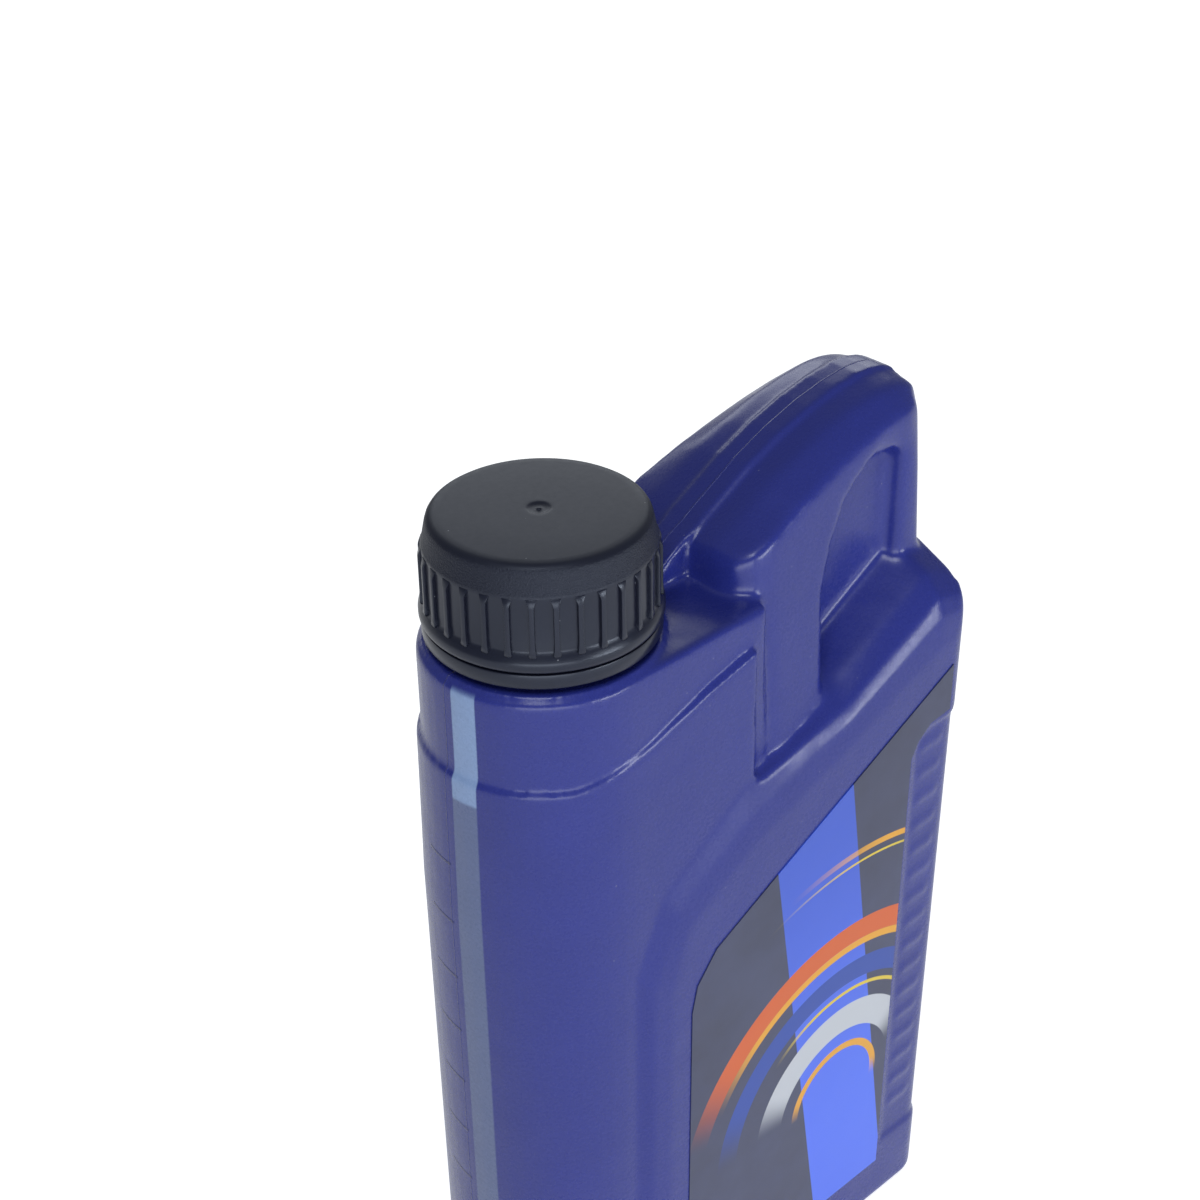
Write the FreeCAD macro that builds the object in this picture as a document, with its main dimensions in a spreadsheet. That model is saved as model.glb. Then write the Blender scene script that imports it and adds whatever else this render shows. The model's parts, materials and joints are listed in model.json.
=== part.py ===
# Motor oil bottle: a blow-moulded bottle with a screw neck at one end and a finger grip at the other.
# The base stands on z = 0 and its outline is centred on x = y = 0.
# The neck is towards -x, the grip towards +x, and the front label faces -y. Sizes are in millimetres.
import FreeCAD, Part
import math
import os
import Sketcher

doc = FreeCAD.newDocument("motor_oil_bottle")

# Driving sizes
SIZES = {
    # overall places
    "body_length": 125.9,
    "seam_height": 206.0,
    "neck_inset": 26.4,
    "wall": 1.3,
    # the narrow end around the neck
    "front_radius": 26.4,
    "foot_radius": 26.2,
    "ledge_radius": 25.5,
    "block_radius": 24.8,
    "block_top_radius": 24.7,
    "block_side_inset": 1.2,
    "ledge_drop": 26.0,
    "ledge_rise": 13.0,
    "block_top_drop": 5.6,
    "block_end": 34.0,
    "brim_round": 1.2,
    "taper_drop": 61.0,
    "side_step": 2.8,
    # the deeper label half
    "label_half_depth": 29.2,
    "label_chamfer": 2.8,
    "base_round": 4.0,
    "back_round": 6.0,
    "push_up": 2.5,
    "push_margin": 7.0,
    "push_front": 9.2,
    # the grip
    "grip_start": 35.0,
    "grip_end_inset": 2.5,
    "grip_half_front": 20.4,
    "grip_half_back": 16.6,
    "grip_lean": 0.1,
    "grip_round": 8.0,
    "ridge_step": 0.8,
    "ridge_front": 26.5,
    "grip_top_round": 2.5,
    "face_half": 15.8,
    "web_half": 11.8,
    # the neck
    "boss_radius": 23.5,
    "boss_height": 0.9,
    "neck_radius": 18.4,
    "neck_bore": 15.6,
    "neck_top": 18.5,
    "bead_radius": 19.9,
    "thread_pitch": 4.5,
    "thread_depth": 1.4,
    "thread_low": 5.0,
    "thread_turns": 1.5,
    # the cap and its ring
    "cap_height": 22.0,
    "cap_top_radius": 20.8,
    "cap_dome_radius": 22.4,
    "cap_dome_low": 15.8,
    "cap_root_radius": 22.5,
    "cap_flange_radius": 23.7,
    "cap_flange_height": 3.8,
    "cap_rib_height": 0.75,
    "cap_rib_width": 1.1,
    "cap_rib_count": 32,
    "cap_roof": 1.7,
    "thread_gap": 0.4,
    "ring_gap": 0.35,
    "ring_height": 3.3,
    "ring_radius": 23.3,
    "ring_inner": 20.6,
    "ring_lip": 19.1,
    "seal_gap": 0.1,
    # labels and contents
    "label_thickness": 0.25,
    "label_low": 16.0,
    "label_front": 13.0,
    "strip_front": 108.6,
    "strip_depth": 0.6,
    "strip_low": 22.0,
    "strip_top_drop": 56.0,
    "strip_round": 5.0,
    "oil_drop": 31.0,
    "oil_gap": 0.3,
}

sheet = doc.addObject("Spreadsheet::Sheet", "sizes")
for row, (name, value) in enumerate(SIZES.items(), start=1):
    sheet.set("A%d" % row, name)
    sheet.set("B%d" % row, repr(value))
    sheet.setAlias("B%d" % row, name)
doc.recompute()


def size(name):
    """A driving size, read from the sheet."""
    return float(sheet.get(name))


def value_of(formula):
    """The number that a formula over the sheet's names gives."""
    return float(doc.getObject("sizes").evalExpression(formula_text(formula)))


def formula_text(formula):
    """A formula with each size's name written as a cell of the sheet."""
    words = []
    word = ""
    for letter in formula + " ":
        if letter.isalnum() or letter == "_":
            word += letter
            continue
        words.append("sizes." + word if word in SIZES else word)
        words.append(letter)
        word = ""
    return "".join(words).strip()


def bind(item, prop, formula):
    """Ties one property of an object to a formula over the sheet."""
    item.setExpression(prop, formula_text(formula))


# Places that several pieces share, as formulas over the sheet
AXIS_X = "(neck_inset - body_length / 2)"
BACK_X = "(body_length / 2)"
SEAM_Z = "seam_height"


# Sketches and solids
def plane_of(body, role):
    """The origin plane of a body that has this role."""
    for item in body.Origin.OriginFeatures:
        if item.Role == role:
            return item
    raise ValueError(role)


def new_sketch(body, name, role, offset):
    """An empty sketch on an origin plane of the body, moved along the plane's normal."""
    sketch = body.newObject("Sketcher::SketchObject", name)
    sketch.AttachmentSupport = [(plane_of(body, role), "")]
    sketch.MapMode = "FlatFace"
    bind(sketch, "AttachmentOffset.Base.z", offset)
    return sketch


def fix_point(sketch, geometry, end, across, up):
    """Ties one end of a sketch line to two formulas, from the sketch's origin."""
    for kind, formula in (("DistanceX", across), ("DistanceY", up)):
        if formula is None:
            continue
        index = sketch.addConstraint(Sketcher.Constraint(kind, -1, 1, geometry, end, value_of(formula)))
        bind(sketch, "Constraints[%d]" % index, formula)


def outline(body, name, role, offset, corners):
    """A closed outline of straight sides, whose corners are pairs of formulas."""
    sketch = new_sketch(body, name, role, offset)
    points = [FreeCAD.Vector(value_of(across), value_of(up), 0) for across, up in corners]
    count = len(points)
    for index in range(count):
        sketch.addGeometry(Part.LineSegment(points[index], points[(index + 1) % count]), False)
    for index in range(count):
        sketch.addConstraint(Sketcher.Constraint("Coincident", index, 2, (index + 1) % count, 1))
    for index, (across, up) in enumerate(corners):
        fix_point(sketch, index, 1, across, up)
    return sketch


def round_front(body, name, offset, radius, end_x, end_half):
    """A half circle about the neck's axis, closed by two sides that run back to end_x."""
    sketch = new_sketch(body, name, "XY_Plane", offset)
    centre = FreeCAD.Vector(value_of(AXIS_X), 0, 0)
    reach = value_of(radius)
    back = value_of(end_x)
    half = value_of(end_half)
    circle = Part.Circle(centre, FreeCAD.Vector(0, 0, 1), reach)
    sketch.addGeometry(Part.ArcOfCircle(circle, math.pi / 2, 3 * math.pi / 2), False)
    low_start = centre + FreeCAD.Vector(0, -reach, 0)
    low_end = FreeCAD.Vector(back, -half, 0)
    top_end = FreeCAD.Vector(back, half, 0)
    top_start = centre + FreeCAD.Vector(0, reach, 0)
    sketch.addGeometry(Part.LineSegment(low_start, low_end), False)
    sketch.addGeometry(Part.LineSegment(low_end, top_end), False)
    sketch.addGeometry(Part.LineSegment(top_end, top_start), False)
    for first, first_end, second, second_end in ((0, 2, 1, 1), (1, 2, 2, 1), (2, 2, 3, 1), (3, 2, 0, 1)):
        sketch.addConstraint(Sketcher.Constraint("Coincident", first, first_end, second, second_end))
    fix_point(sketch, 0, 3, AXIS_X, "0")
    index = sketch.addConstraint(Sketcher.Constraint("Radius", 0, reach))
    bind(sketch, "Constraints[%d]" % index, radius)
    fix_point(sketch, 1, 1, AXIS_X, None)
    fix_point(sketch, 3, 2, AXIS_X, None)
    fix_point(sketch, 1, 2, end_x, "-(%s)" % end_half)
    fix_point(sketch, 2, 2, end_x, end_half)
    return sketch


def loft(body, name, sections, ruled=True):
    """A solid through a row of sections."""
    solid = body.newObject("PartDesign::AdditiveLoft", name)
    solid.Profile = sections[0]
    solid.Sections = sections[1:]
    solid.Ruled = ruled
    doc.recompute()
    return solid


def cut_loft(body, name, sections):
    """A hollow through a row of sections."""
    hollow = body.newObject("PartDesign::SubtractiveLoft", name)
    hollow.Profile = sections[0]
    hollow.Sections = sections[1:]
    hollow.Ruled = True
    doc.recompute()
    return hollow


def edges_where(shape, test):
    """The names of the edges whose two ends and middle all pass a test."""
    names = []
    for index, edge in enumerate(shape.Edges, start=1):
        middle = edge.valueAt((edge.FirstParameter + edge.LastParameter) / 2)
        points = [vertex.Point for vertex in edge.Vertexes] + [middle]
        if all(test(point) for point in points):
            names.append("Edge%d" % index)
    return names


def round_edges(body, name, base, test, radius):
    """A fillet on the edges of a feature that pass a test."""
    fillet = body.newObject("PartDesign::Fillet", name)
    fillet.Base = (base, edges_where(base.Shape, test))
    fillet.Radius = value_of(radius)
    bind(fillet, "Radius", radius)
    doc.recompute()
    return fillet


def near(first, second):
    """Whether two lengths are the same within a hundredth."""
    return abs(first - second) < 0.01


def new_body(name):
    """An empty body."""
    return doc.addObject("PartDesign::Body", name)


def join(kind, name, shapes):
    """A boolean of several objects: MultiFuse or MultiCommon."""
    result = doc.addObject("Part::" + kind, name)
    result.Shapes = shapes
    doc.recompute()
    return result


def cut(name, base, tool):
    """One object with another taken away."""
    result = doc.addObject("Part::Cut", name)
    result.Base = base
    result.Tool = tool
    doc.recompute()
    return result


def from_axis(distance):
    """A place along x, counted from the neck's axis."""
    return "%s + %s" % (AXIS_X, distance)


def from_seam(drop):
    """A height counted down from the seam between the cap and its ring."""
    return "%s - (%s)" % (SEAM_Z, drop)


def along(place):
    """A place along the grip, drawn for a run of 97 mm from the neck's axis to the grip's back end."""
    return "%s * %s / 97" % (place, GRIP_RUN)


# The grip's run, and how far the narrow end's sides move with the label's face
GRIP_RUN = "(body_length - neck_inset - grip_end_inset)"
SIDE_SHIFT = "(label_half_depth - side_step - front_radius)"


# The bottle's outer form and its hollow are made by the same functions, the hollow one wall further in
def narrow_end(name, inset):
    """The lower part of the narrow end: a tall half-round column that stops at the sloping ledge."""
    body = new_body(name)
    end_x = from_axis("block_end - " + inset)
    sections = []
    for index, (radius, height) in enumerate((
            ("foot_radius - base_round", inset),
            ("foot_radius - 0.5 * base_round", inset + " + 0.13 * base_round"),
            ("foot_radius - 0.13 * base_round", inset + " + 0.5 * base_round"),
            ("foot_radius", inset + " + base_round"),
            ("front_radius", from_seam("taper_drop")),
            ("ledge_radius + 0.25", from_seam("ledge_drop + " + inset)),
            ("ledge_radius", from_seam("block_top_drop + 2 + " + inset)))):
        reach = "%s - %s" % (radius, inset)
        half = "%s + %s" % (reach, SIDE_SHIFT)
        sections.append(round_front(body, "%s_plan_%d" % (name, index), height, reach, end_x, half))
    loft(body, name + "_column", sections)
    top = from_seam("0")
    ledge = outline(body, name + "_ledge", "XZ_Plane", "0", [
        (from_axis("-neck_inset - 5"), top),
        (from_axis("-neck_inset - 5"), from_seam("ledge_drop + " + inset)),
        (from_axis("-12"), from_seam("ledge_drop + " + inset)),
        (from_axis("5"), from_seam("ledge_drop - 4.2 + " + inset)),
        (from_axis("20"), from_seam("ledge_drop - 9.4 + " + inset)),
        (from_axis("block_end"), from_seam("ledge_rise + " + inset)),
        (from_axis("block_end + 5"), from_seam("ledge_rise + " + inset)),
        (from_axis("block_end + 5"), top)])
    pocket = body.newObject("PartDesign::Pocket", name + "_over_ledge")
    pocket.Profile = ledge
    pocket.Type = "ThroughAll"
    pocket.Midplane = True
    doc.recompute()
    return body


def neck_block(name, inset):
    """The upper part of the narrow end: a slightly slimmer block with a flat top around the neck."""
    body = new_body(name)
    end_x = from_axis("grip_start + 4 - " + inset)
    sections = []
    top = "block_top_drop + " + inset
    for index, (radius, height) in enumerate((
            ("block_radius + 0.3", from_seam("ledge_drop + 27")),
            ("block_radius", from_seam("ledge_drop")),
            ("block_top_radius", from_seam(top + " + brim_round")),
            ("block_top_radius - 0.13 * brim_round", from_seam(top + " + 0.5 * brim_round")),
            ("block_top_radius - 0.5 * brim_round", from_seam(top + " + 0.13 * brim_round")),
            ("block_top_radius - brim_round", from_seam(top)))):
        reach = "%s - %s" % (radius, inset)
        half = "%s + %s - block_side_inset" % (reach, SIDE_SHIFT)
        sections.append(round_front(body, "%s_plan_%d" % (name, index), height, reach, end_x, half))
    loft(body, name + "_block", sections)
    return body


# Half depths of the label half's sections, and the corners of each section above its foot:
# the back corner, three points along the sloping shoulder, the turn, and two points down the front
SHOULDER_END = "body_length - neck_inset - 9.5"
SHOULDER = (
    ("label_half_depth",
     ("36", (SHOULDER_END, "35"), ("60", "47.5"), ("30", "58.5"), ("12", "69.5"), ("7.5", "84"), "7")),
    ("label_half_depth - 0.3 * label_chamfer",
     ("31", (SHOULDER_END, "29"), ("60", "42.5"), ("30", "52"), ("9.5", "65.5"), ("3", "81"), "2.5")),
    ("label_half_depth - label_chamfer",
     ("27", (SHOULDER_END, "24.5"), ("60", "39"), ("30", "46"), ("7", "61"), ("0", "78"), "0")),
    ("22", ("23", (SHOULDER_END, "20"), ("61", "35.5"), ("34", "45"), ("12", "61"), ("4", "80"), "4")),
    ("12", ("18.5", (SHOULDER_END, "15.5"), ("63", "31.5"), ("40", "43"), ("16", "60"), ("8", "80"), "8")),
)


def footprint(name, inset, low, high, front_x):
    """A prism of the label half's plan: square at front_x, with two rounded back corners."""
    body = new_body(name)
    back = "%s - %s" % (BACK_X, inset)
    half = "label_half_depth - %s" % inset
    sketch = outline(body, name + "_outline", "XY_Plane", low, [
        (front_x, "-(%s)" % half), (back, "-(%s)" % half), (back, half), (front_x, half)])
    pad = body.newObject("PartDesign::Pad", name + "_prism")
    pad.Profile = sketch
    bind(pad, "Length", "%s - (%s)" % (high, low))
    doc.recompute()
    end = value_of(back)
    side = value_of(half)
    round_edges(body, name + "_corners", pad, lambda point: near(point.x, end) and near(abs(point.y), side),
                "back_round - " + inset)
    return body


def label_half(name, inset):
    """The deeper half under the label: a slab with a sloping shoulder and a bevelled front edge."""
    body = new_body(name)
    sections = []
    halves = [("-1", row) for row in SHOULDER] + [("1", row) for row in reversed(SHOULDER)]
    for index, (side, (half, (back_drop, *points, foot))) in enumerate(halves):
        back_x = "%s - %s" % (BACK_X, inset)
        corners = [(back_x, inset), (back_x, from_seam("%s + %s" % (back_drop, inset)))]
        for across, drop in points:
            corners.append((from_axis("%s + %s" % (across, inset)), from_seam("%s + %s" % (drop, inset))))
        corners.append((from_axis("%s + %s" % (foot, inset)), inset))
        # the plane's normal runs towards the front label, so the sign turns round
        offset = "-(%s) * (%s - %s)" % (side, half, inset)
        sections.append(outline(body, "%s_side_%d" % (name, index), "XZ_Plane", offset, corners))
    loft(body, name + "_slab", sections)
    plan = footprint(name + "_plan", inset, inset, SEAM_Z, from_axis("-neck_inset"))
    low = value_of(inset)
    front = value_of(from_axis("-neck_inset"))
    round_edges(plan, name + "_foot", plan.Tip,
                lambda point: near(point.z, low) and point.x > front + 1, "base_round")
    return join("MultiCommon", name + "_rounded", [body, plan])


# Stations along the grip: distance from the neck's axis, how far the sides and the top turn in there
# as shares of the end's rounding, then the rise above the seam of its ridge, brow and side edge
STATIONS = (
    ("grip_start", "1", "4.2", "3.6", "2.4"),
    ("grip_start + 0.13 * grip_round", "0.5", "4.6", "4.0", "2.7"),
    ("grip_start + 0.5 * grip_round", "0.13", "6.0", "5.3", "3.6"),
    ("grip_start + grip_round", "0", "8.0", "7.2", "4.9"),
    (along("52"), "0", "13.2", "12.0", "8.5"),
    (along("61"), "0", "17.2", "15.6", "11.4"),
    (along("70"), "0", "20.2", "18.4", "14.0"),
    (along("78"), "0", "22.0", "20.1", "15.8"),
    (along("85"), "0", "22.9", "21.0", "16.8"),
    (GRIP_RUN + " - grip_round", "0", "22.8", "20.9", "16.9"),
    (GRIP_RUN + " - 0.5 * grip_round", "0.13", "22.4", "20.5", "16.6"),
    (GRIP_RUN + " - 0.13 * grip_round", "0.5", "22.1", "20.2", "16.3"),
    (GRIP_RUN, "1", "21.8", "19.9", "16.0"),
)
RIDGE_HALF = "4"
BROW_HALF = "10.5"

# Two cuts in each side of the grip: a flat face that ends forward in an arch, and the finger recess in it.
# Each corner has its place on the floor and at the mouth, as distance from the neck's axis and rise above
# the seam, and the way it moves for the hollow
CUT_REACH = "8"
FACE_CORNERS = (
    (("61", "-60"), ("56.5", "-60"), ("-1", "1")),
    (("61", "-14"), ("56.5", "-14"), ("-1", "0")),
    (("64", "-3"), ("60", "-1"), ("-0.9", "0.4")),
    (("70.5", "6.5"), ("66.5", "9.5"), ("-0.7", "0.7")),
    (("79", "12.5"), ("77", "16"), ("-0.4", "0.9")),
    (("90", "15"), ("90", "19"), ("0", "1")),
    (("112", "15"), ("112", "19"), ("1", "1")),
    (("112", "-60"), ("112", "-60"), ("1", "1")),
)
RECESS_CORNERS = (
    (("62", "-60"), ("59", "-60"), ("-1", "1")),
    (("62", "-12"), ("59", "-12"), ("-1", "0")),
    (("68.6", "2.5"), ("66", "5.5"), ("-0.7", "0.7")),
    (("76.8", "8.4"), ("75.2", "11.6"), ("-0.4", "0.9")),
    (("84.5", "8.6"), ("86", "11.8"), ("0.4", "0.9")),
    (("86.9", "6"), ("89", "8"), ("1", "0.5")),
    (("86.9", "-60"), ("89", "-60"), ("1", "1")),
)


def grip_half(station, rise):
    """The grip's half width at a station and height: it narrows upwards and towards the back."""
    run = "(%s - grip_start)" % GRIP_RUN
    taper = "(grip_half_front - grip_half_back) / %s * (%s - grip_start)" % (run, station)
    return "grip_half_front - %s - grip_lean * (%s)" % (taper, rise)


def grip(name, inset):
    """The grip: a fin with a rising back and a raised ridge, and a finger recess in each side."""
    body = new_body(name)
    deep = "-50"
    sections = []
    last = len(STATIONS) - 1
    for index, (station, turn, ridge, brow, edge) in enumerate(STATIONS):
        shift = " + " + inset if index < last / 2 else " - " + inset
        side = [(grip_half(station, deep), deep), (grip_half(station, edge), edge), (BROW_HALF, brow),
                (RIDGE_HALF + " + ridge_step", "%s - ridge_step" % ridge), (RIDGE_HALF, ridge)]
        right = []
        for place, (half, rise) in enumerate(side):
            narrower = "%s * grip_round" % turn if place < 2 else "0"
            lower = "0" if place == 0 else "%s * grip_top_round" % turn
            height = from_seam("-(%s) + %s + %s" % (rise, inset, lower))
            right.append(("%s - %s - %s" % (half, inset, narrower), height))
        left = [("-(%s)" % half, height) for half, height in reversed(right)]
        offset = from_axis(station + shift)
        sections.append(outline(body, "%s_rib_%d" % (name, index), "YZ_Plane", offset, right + left))
    loft(body, name + "_fin", sections)
    for side, label in (("1", "front"), ("-1", "rear")):
        for kind, depth, corners in (
                ("face", "face_half", FACE_CORNERS), ("recess", "web_half", RECESS_CORNERS)):
            title = "%s_%s_%s" % (name, label, kind)
            rows = []
            for place, half in enumerate((depth, "%s + %s" % (depth, CUT_REACH))):
                ring = []
                for corner in corners:
                    across, rise = corner[place]
                    grow_x, grow_z = corner[2]
                    ring.append((from_axis("%s + %s * %s" % (along(across), grow_x, inset)),
                                 from_seam("-(%s) - %s * %s" % (rise, grow_z, inset))))
                offset = "%s * (%s - %s)" % (side, half, inset)
                rows.append(outline(body, "%s_%d" % (title, place), "XZ_Plane", offset, ring))
            cut_loft(body, title, rows)
    return body


def ridge_foot(name, inset):
    """The ridge running on down in front of the grip, to the flat top around the neck."""
    body = new_body(name)
    sketch = outline(body, name + "_side", "XZ_Plane", "0", [
        (from_axis("ridge_front + " + inset), from_seam("block_top_drop + 2")),
        (from_axis("ridge_front + " + inset), from_seam("2.2 + " + inset)),
        (from_axis("ridge_front + 6"), from_seam("-2.0 + " + inset)),
        (from_axis("grip_start + 2"), from_seam("-4.4 + " + inset)),
        (from_axis("grip_start + 5"), from_seam("-5.9 + " + inset)),
        (from_axis("grip_start + 5"), from_seam("block_top_drop + 2"))])
    pad = body.newObject("PartDesign::Pad", name + "_rib")
    pad.Profile = sketch
    pad.Midplane = True
    bind(pad, "Length", "2 * (%s + 0.3 - %s)" % (RIDGE_HALF, inset))
    doc.recompute()
    return body


def turned(name, profile):
    """A solid turned about the neck's axis from a closed outline of radius and height pairs."""
    body = new_body(name)
    sketch = outline(body, name + "_profile", "XZ_Plane", "0", profile)
    solid = body.newObject("PartDesign::Revolution", name + "_turning")
    solid.Profile = sketch
    solid.ReferenceAxis = (sketch, ["V_Axis"])
    solid.Angle = 360
    bind(body, "Placement.Base.x", AXIS_X)
    doc.recompute()
    return body


def helix_ridge(name, radius, crest, low, turns, foot, tip):
    """A thread ridge about the neck's axis: foot and tip are its widths at radius and at crest."""
    pitch = size("thread_pitch")
    spine = Part.makeHelix(pitch, pitch * turns, radius)
    spine.translate(FreeCAD.Vector(0, 0, low))
    corners = [FreeCAD.Vector(reach, 0, low + rise) for reach, rise in (
        (radius, -foot / 2), (crest, -tip / 2), (crest, tip / 2), (radius, foot / 2))]
    profile = Part.makePolygon(corners + corners[:1])
    ridge = doc.addObject("Part::Feature", name)
    ridge.Shape = Part.Wire(spine).makePipeShell([profile], True, True)
    centre = FreeCAD.Vector(value_of(AXIS_X), 0, size("seam_height"))
    ridge.Placement = FreeCAD.Placement(centre, FreeCAD.Rotation())
    return ridge


LABEL_END = "body_length - neck_inset - back_round"


def label_plate(name, side):
    """A thin label on the flat face of the label half, with its upper edge along the shoulder."""
    body = new_body(name)
    edge = "strip_front - neck_inset - 1.2"
    corners = [(from_axis("label_front"), "label_low"), (from_axis(edge), "label_low"),
               (from_axis(edge), from_seam("strip_top_drop + strip_round + 1")),
               (from_axis(edge + " + 0.4 * strip_round"), from_seam("strip_top_drop + 0.4 * strip_round")),
               (from_axis(edge + " + strip_round + 1"), from_seam("strip_top_drop - 1.2")),
               (from_axis(LABEL_END), from_seam("strip_top_drop - 2")),
               (from_axis(LABEL_END), from_seam("42")), (from_axis("38"), from_seam("70.5")),
               (from_axis("20"), from_seam("80")), (from_axis("label_front + 1.5"), from_seam("87")),
               (from_axis("label_front"), from_seam("94"))]
    sketch = outline(body, name + "_outline", "XZ_Plane", "%s * label_half_depth" % side, corners)
    pad = body.newObject("PartDesign::Pad", name + "_sheet")
    pad.Profile = sketch
    pad.Reversed = side == "-1"
    bind(pad, "Length", "label_thickness")
    doc.recompute()
    return body


# Bottle
outer_pieces = [narrow_end("end_skin", "0"), neck_block("block_skin", "0"),
                label_half("slab_skin", "0"), grip("grip_skin", "0"), ridge_foot("ridge_skin", "0")]
neck_low = from_seam("block_top_drop + 1")
neck_top = "seam_height + neck_top"
outer_pieces.append(turned("neck_skin", [
    ("0", neck_low), ("boss_radius", neck_low), ("boss_radius", from_seam("block_top_drop - boss_height")),
    ("neck_radius", from_seam("block_top_drop - boss_height")), ("neck_radius", "seam_height - 0.6"),
    ("bead_radius", "seam_height - 0.2"), ("bead_radius", "seam_height + 0.5"),
    ("neck_radius", "seam_height + 1.5"), ("neck_radius", neck_top), ("0", neck_top)]))
THREAD_FOOT = 2.7
THREAD_TIP = 1.0
outer_pieces.append(helix_ridge(
    "neck_thread", size("neck_radius") - 0.3, size("neck_radius") + size("thread_depth"),
    size("thread_low"), size("thread_turns"), THREAD_FOOT, THREAD_TIP))
outer = join("MultiFuse", "outer_form", outer_pieces)
inner_pieces = [narrow_end("end_hollow", "wall"), neck_block("block_hollow", "wall"),
                label_half("slab_hollow", "wall"), grip("grip_hollow", "wall"),
                ridge_foot("ridge_hollow", "wall")]
inner_pieces.append(turned("neck_hollow", [
    ("0", from_seam("block_top_drop + 4")), ("neck_bore", from_seam("block_top_drop + 4")),
    ("neck_bore", neck_top + " + 1"), ("0", neck_top + " + 1")]))
inner = join("MultiFuse", "inner_form", inner_pieces)
# A shallow upright strip is sunk around the back end, from just above the base to below the shoulder
strip_block = new_body("strip_block")
strip_x = from_axis("strip_front - neck_inset")
far_x = BACK_X + " + 5"
strip_sketch = outline(strip_block, "strip_outline", "XZ_Plane", "-(body_length / 2)", [
    (strip_x, "strip_low"), (far_x, "strip_low"), (far_x, from_seam("strip_top_drop")),
    (strip_x + " + strip_round", from_seam("strip_top_drop")),
    (strip_x + " + 0.3 * strip_round", from_seam("strip_top_drop + 0.3 * strip_round")),
    (strip_x, from_seam("strip_top_drop + strip_round"))])
strip_pad = strip_block.newObject("PartDesign::Pad", "strip_prism")
strip_pad.Profile = strip_sketch
bind(strip_pad, "Length", "body_length")
doc.recompute()
strip_core = footprint("strip_core", "strip_depth", "0", SEAM_Z, AXIS_X)
strip = cut("strip_band", strip_block, strip_core)
banded = cut("banded", outer, strip)

# The middle of the base is raised, so the bottle stands on its rim
def raised_base(name, inset, height):
    """A low block over the middle of the base."""
    body = new_body(name)
    reach = "push_margin - " + inset
    front = from_axis("-push_front - " + inset)
    back = "%s - (%s)" % (BACK_X, reach)
    half = "front_radius - (%s)" % reach
    sketch = outline(body, name + "_outline", "XY_Plane", "0", [
        (front, "-(%s)" % half), (back, "-(%s)" % half), (back, half), (front, half)])
    pad = body.newObject("PartDesign::Pad", name + "_prism")
    pad.Profile = sketch
    bind(pad, "Length", height)
    doc.recompute()
    side = value_of(half)
    ends = (value_of(front), value_of(back))
    round_edges(body, name + "_corners", pad,
                lambda point: near(abs(point.y), side) and (near(point.x, ends[0]) or near(point.x, ends[1])),
                "back_round")
    return body


under_step = raised_base("under_step", "0", "push_up")
floor_step = raised_base("floor_step", "wall", "push_up + wall")
footed = cut("footed", banded, under_step)
floored = cut("floored", inner, floor_step)
shell = cut("shell", footed, floored)

# Screw cap, made at the closed place
under_roof = "seam_height + cap_height - cap_roof"
thread_wall = "(neck_radius + thread_depth + thread_gap)"
cap_turning = turned("cap_turning", [
    (thread_wall, "seam_height + ring_gap"), ("cap_flange_radius", "seam_height + ring_gap"),
    ("cap_flange_radius", "seam_height + cap_flange_height"),
    ("cap_root_radius", "seam_height + cap_flange_height + 0.8"),
    ("cap_dome_radius", "seam_height + cap_dome_low"),
    ("cap_top_radius + 0.9", "seam_height + cap_height - 2.2"),
    ("cap_top_radius", "seam_height + cap_height - 0.7"),
    ("cap_top_radius - 1.6", "seam_height + cap_height"),
    ("0", "seam_height + cap_height"), ("0", under_roof), (thread_wall, under_roof)])
wall_radius = size("neck_radius") + size("thread_depth") + size("thread_gap")
cap_thread = helix_ridge(
    "cap_thread", wall_radius + 0.3, size("neck_radius") + size("thread_gap"),
    size("thread_low") + size("thread_pitch") / 2, size("thread_turns") - 0.25, THREAD_FOOT, THREAD_TIP)
ribs = []
for number in range(int(size("cap_rib_count"))):
    rib = doc.addObject("Part::Box", "cap_rib_%d" % number)
    bind(rib, "Length", "cap_rib_height + 0.6")
    bind(rib, "Width", "cap_rib_width")
    bind(rib, "Height", "cap_dome_low - cap_flange_height - 0.4")
    turn = FreeCAD.Rotation(FreeCAD.Vector(0, 0, 1), number * 360 / size("cap_rib_count"))
    reach = FreeCAD.Vector(size("cap_root_radius") - 0.6, -size("cap_rib_width") / 2,
                           size("cap_flange_height"))
    centre = FreeCAD.Vector(value_of(AXIS_X), 0, size("seam_height"))
    rib.Placement = FreeCAD.Placement(centre + turn.multVec(reach), turn)
    ribs.append(rib)
cap = join("MultiFuse", "cap_form", [cap_turning, cap_thread] + ribs)

# Tamper ring under the cap, held by a lip below the neck's bead
ring = turned("ring_form", [
    ("ring_lip", "seam_height - ring_height"), ("ring_radius - 0.4", "seam_height - ring_height"),
    ("ring_radius", "seam_height - ring_height + 0.5"), ("ring_radius", "seam_height"),
    ("ring_inner", "seam_height"), ("ring_inner", "seam_height - 1.2"), ("ring_lip", "seam_height - 1.6")])

# Sealing disc inside the cap
seal_low = neck_top + " + seal_gap"
liner = turned("liner_form", [
    ("0", seal_low), ("neck_radius + 0.6", seal_low), ("neck_radius + 0.6", under_roof + " - 0.05"),
    ("0", under_roof + " - 0.05")])

front_label = label_plate("front_label_form", "1")
back_label = label_plate("back_label_form", "-1")

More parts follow.
